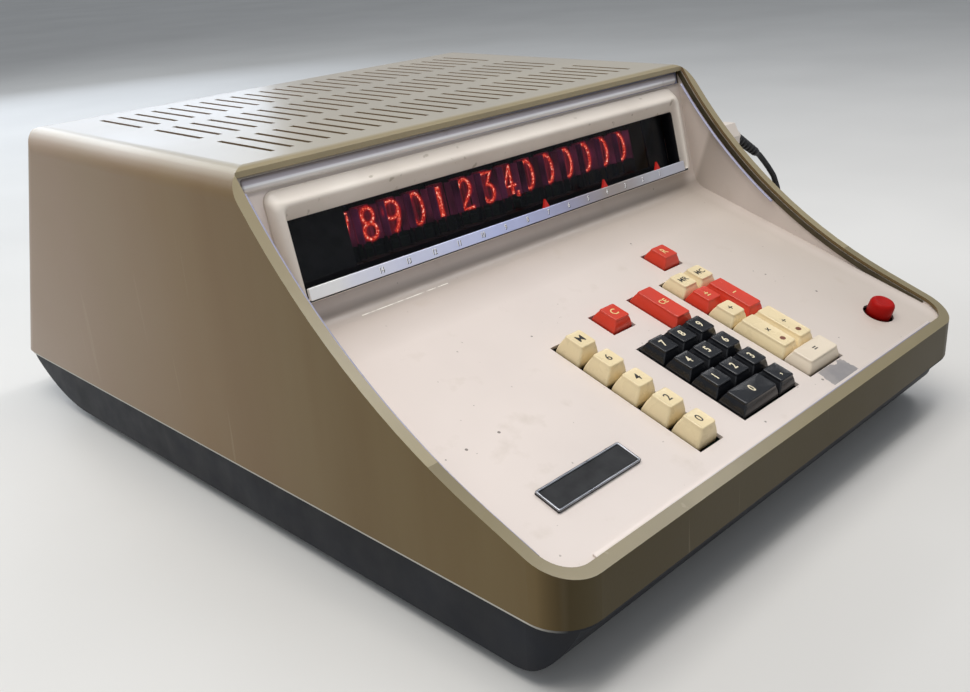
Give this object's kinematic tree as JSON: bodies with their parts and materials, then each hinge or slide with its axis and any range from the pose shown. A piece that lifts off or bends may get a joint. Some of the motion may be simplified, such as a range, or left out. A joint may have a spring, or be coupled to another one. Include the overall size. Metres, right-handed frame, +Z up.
{
  "type": "nixie tube desk calculator",
  "caption": "Desk calculator with a sheet-metal wedge case, a sloped keyboard with sprung keys and a row of glowing nixie tubes behind a dark window.",
  "frame": {"origin": "on the table under the middle of the case", "axes": "+Z up, +X to the user's right, the keyboard and the display face -Y"},
  "size_m": [0.4852, 0.516, 0.201],
  "materials": {
    "olive_paint": "semi-gloss olive enamel, worn at the edges",
    "pan_paint": "dark blue-grey enamel",
    "foot_rubber": "matt",
    "screw_steel": "plain steel",
    "panel_paint": "warm white enamel with worn patches",
    "trim_chrome": "bright strip",
    "name_metal": "bare plate, no lettering",
    "bezel_plastic": "off-white",
    "window_glass": "dark red tint",
    "strip_chrome": "bright strip with a place scale",
    "pointer_red": "red",
    "mask_black": "matt black",
    "tube_glass": "clear glass",
    "cathode_metal": "blackened wire stack",
    "socket_plastic": "moulded",
    "board_green": "circuit board with parts",
    "bracket_metal": "plain sheet",
    "switch_plastic": "moulded",
    "key_cream": "cream",
    "key_black": "black",
    "key_red": "red",
    "key_white": "ivory",
    "power_red": "bright red",
    "core_iron": "laminated core",
    "coil_wrap": "wrapped winding",
    "can_metal": "drawn cans",
    "inlet_plastic": "beige",
    "lead_rubber": "matt black",
    "plug_plastic": "black"
  },
  "bodies": {
    "chassis": {"top_cover": "olive_paint", "base_pan": "pan_paint", "rubber_feet": "foot_rubber", "cover_screws": "screw_steel", "front_panel": "panel_paint", "panel_trim": "trim_chrome", "nameplate": "name_metal", "display_bezel": "bezel_plastic", "display_window": "window_glass", "scale_strip": "strip_chrome", "group_pointers": "pointer_red", "display_mask": "mask_black", "nixie_tubes": "tube_glass", "cathode_stacks": "cathode_metal", "tube_sockets": "socket_plastic", "display_board": "board_green", "display_bracket": "bracket_metal", "key_switches": "switch_plastic", "keyboard_board": "board_green", "power_switch": "switch_plastic", "card_cage": "bracket_metal", "backplane": "board_green", "logic_boards": "board_green", "transformer_core": "core_iron", "transformer_coil": "coil_wrap", "smoothing_capacitors": "can_metal", "mains_inlet": "inlet_plastic", "lead_connector": "inlet_plastic", "strain_relief": "lead_rubber", "mains_lead": "lead_rubber", "lead_coil": "lead_rubber", "mains_plug": "plug_plastic"},
    "key_left_1": {"key_left_1": "key_cream"},
    "key_left_2": {"key_left_2": "key_cream"},
    "key_left_3": {"key_left_3": "key_cream"},
    "key_left_4": {"key_left_4": "key_cream"},
    "key_left_5": {"key_left_5": "key_cream"},
    "key_times": {"key_times": "key_cream"},
    "key_divide": {"key_divide": "key_cream"},
    "key_mid": {"key_mid": "key_cream"},
    "key_top_a": {"key_top_a": "key_cream"},
    "key_top_b": {"key_top_b": "key_cream"},
    "key_digit_0": {"key_digit_0": "key_black"},
    "key_digit_1": {"key_digit_1": "key_black"},
    "key_digit_2": {"key_digit_2": "key_black"},
    "key_digit_3": {"key_digit_3": "key_black"},
    "key_digit_4": {"key_digit_4": "key_black"},
    "key_digit_5": {"key_digit_5": "key_black"},
    "key_digit_6": {"key_digit_6": "key_black"},
    "key_digit_7": {"key_digit_7": "key_black"},
    "key_digit_8": {"key_digit_8": "key_black"},
    "key_digit_9": {"key_digit_9": "key_black"},
    "key_comma": {"key_comma": "key_black"},
    "key_red_left": {"key_red_left": "key_red"},
    "key_red_long": {"key_red_long": "key_red"},
    "key_red_rear": {"key_red_rear": "key_red"},
    "key_red_right": {"key_red_right": "key_red"},
    "key_minus": {"key_minus": "key_red"},
    "key_equals": {"key_equals": "key_white"},
    "power_button": {"power_button": "power_red"}
  },
  "joints": [
    {"name": "key_left_1_press", "type": "slide", "parent": "chassis", "child": "key_left_1", "axis": [0, 0.309, -0.9511], "range_m": [0, 0.004], "stiffness_N_per_m": 150, "springref_m": -0.004},
    {"name": "key_left_2_press", "type": "slide", "parent": "chassis", "child": "key_left_2", "axis": [0, 0.309, -0.9511], "range_m": [0, 0.004], "stiffness_N_per_m": 150, "springref_m": -0.004},
    {"name": "key_left_3_press", "type": "slide", "parent": "chassis", "child": "key_left_3", "axis": [0, 0.309, -0.9511], "range_m": [0, 0.004], "stiffness_N_per_m": 150, "springref_m": -0.004},
    {"name": "key_left_4_press", "type": "slide", "parent": "chassis", "child": "key_left_4", "axis": [0, 0.309, -0.9511], "range_m": [0, 0.004], "stiffness_N_per_m": 150, "springref_m": -0.004},
    {"name": "key_left_5_press", "type": "slide", "parent": "chassis", "child": "key_left_5", "axis": [0, 0.309, -0.9511], "range_m": [0, 0.004], "stiffness_N_per_m": 150, "springref_m": -0.004},
    {"name": "key_times_press", "type": "slide", "parent": "chassis", "child": "key_times", "axis": [0, 0.309, -0.9511], "range_m": [0, 0.004], "stiffness_N_per_m": 150, "springref_m": -0.004},
    {"name": "key_divide_press", "type": "slide", "parent": "chassis", "child": "key_divide", "axis": [0, 0.309, -0.9511], "range_m": [0, 0.004], "stiffness_N_per_m": 150, "springref_m": -0.004},
    {"name": "key_mid_press", "type": "slide", "parent": "chassis", "child": "key_mid", "axis": [0, 0.309, -0.9511], "range_m": [0, 0.004], "stiffness_N_per_m": 150, "springref_m": -0.004},
    {"name": "key_top_a_press", "type": "slide", "parent": "chassis", "child": "key_top_a", "axis": [0, 0.309, -0.9511], "range_m": [0, 0.004], "stiffness_N_per_m": 150, "springref_m": -0.004},
    {"name": "key_top_b_press", "type": "slide", "parent": "chassis", "child": "key_top_b", "axis": [0, 0.309, -0.9511], "range_m": [0, 0.004], "stiffness_N_per_m": 150, "springref_m": -0.004},
    {"name": "key_digit_0_press", "type": "slide", "parent": "chassis", "child": "key_digit_0", "axis": [0, 0.309, -0.9511], "range_m": [0, 0.004], "stiffness_N_per_m": 150, "springref_m": -0.004},
    {"name": "key_digit_1_press", "type": "slide", "parent": "chassis", "child": "key_digit_1", "axis": [0, 0.309, -0.9511], "range_m": [0, 0.004], "stiffness_N_per_m": 150, "springref_m": -0.004},
    {"name": "key_digit_2_press", "type": "slide", "parent": "chassis", "child": "key_digit_2", "axis": [0, 0.309, -0.9511], "range_m": [0, 0.004], "stiffness_N_per_m": 150, "springref_m": -0.004},
    {"name": "key_digit_3_press", "type": "slide", "parent": "chassis", "child": "key_digit_3", "axis": [0, 0.309, -0.9511], "range_m": [0, 0.004], "stiffness_N_per_m": 150, "springref_m": -0.004},
    {"name": "key_digit_4_press", "type": "slide", "parent": "chassis", "child": "key_digit_4", "axis": [0, 0.309, -0.9511], "range_m": [0, 0.004], "stiffness_N_per_m": 150, "springref_m": -0.004},
    {"name": "key_digit_5_press", "type": "slide", "parent": "chassis", "child": "key_digit_5", "axis": [0, 0.309, -0.9511], "range_m": [0, 0.004], "stiffness_N_per_m": 150, "springref_m": -0.004},
    {"name": "key_digit_6_press", "type": "slide", "parent": "chassis", "child": "key_digit_6", "axis": [0, 0.309, -0.9511], "range_m": [0, 0.004], "stiffness_N_per_m": 150, "springref_m": -0.004},
    {"name": "key_digit_7_press", "type": "slide", "parent": "chassis", "child": "key_digit_7", "axis": [0, 0.309, -0.9511], "range_m": [0, 0.004], "stiffness_N_per_m": 150, "springref_m": -0.004},
    {"name": "key_digit_8_press", "type": "slide", "parent": "chassis", "child": "key_digit_8", "axis": [0, 0.309, -0.9511], "range_m": [0, 0.004], "stiffness_N_per_m": 150, "springref_m": -0.004},
    {"name": "key_digit_9_press", "type": "slide", "parent": "chassis", "child": "key_digit_9", "axis": [0, 0.309, -0.9511], "range_m": [0, 0.004], "stiffness_N_per_m": 150, "springref_m": -0.004},
    {"name": "key_comma_press", "type": "slide", "parent": "chassis", "child": "key_comma", "axis": [0, 0.309, -0.9511], "range_m": [0, 0.004], "stiffness_N_per_m": 150, "springref_m": -0.004},
    {"name": "key_red_left_press", "type": "slide", "parent": "chassis", "child": "key_red_left", "axis": [0, 0.309, -0.9511], "range_m": [0, 0.004], "stiffness_N_per_m": 150, "springref_m": -0.004},
    {"name": "key_red_long_press", "type": "slide", "parent": "chassis", "child": "key_red_long", "axis": [0, 0.309, -0.9511], "range_m": [0, 0.004], "stiffness_N_per_m": 150, "springref_m": -0.004},
    {"name": "key_red_rear_press", "type": "slide", "parent": "chassis", "child": "key_red_rear", "axis": [0, 0.309, -0.9511], "range_m": [0, 0.004], "stiffness_N_per_m": 150, "springref_m": -0.004},
    {"name": "key_red_right_press", "type": "slide", "parent": "chassis", "child": "key_red_right", "axis": [0, 0.309, -0.9511], "range_m": [0, 0.004], "stiffness_N_per_m": 150, "springref_m": -0.004},
    {"name": "key_minus_press", "type": "slide", "parent": "chassis", "child": "key_minus", "axis": [0, 0.309, -0.9511], "range_m": [0, 0.004], "stiffness_N_per_m": 150, "springref_m": -0.004},
    {"name": "key_equals_press", "type": "slide", "parent": "chassis", "child": "key_equals", "axis": [0, 0.309, -0.9511], "range_m": [0, 0.004], "stiffness_N_per_m": 150, "springref_m": -0.004},
    {"name": "power_press", "type": "slide", "parent": "chassis", "child": "power_button", "axis": [0, 0.309, -0.9511], "range_m": [0, 0.005], "stiffness_N_per_m": 200, "springref_m": -0.005}
  ]
}
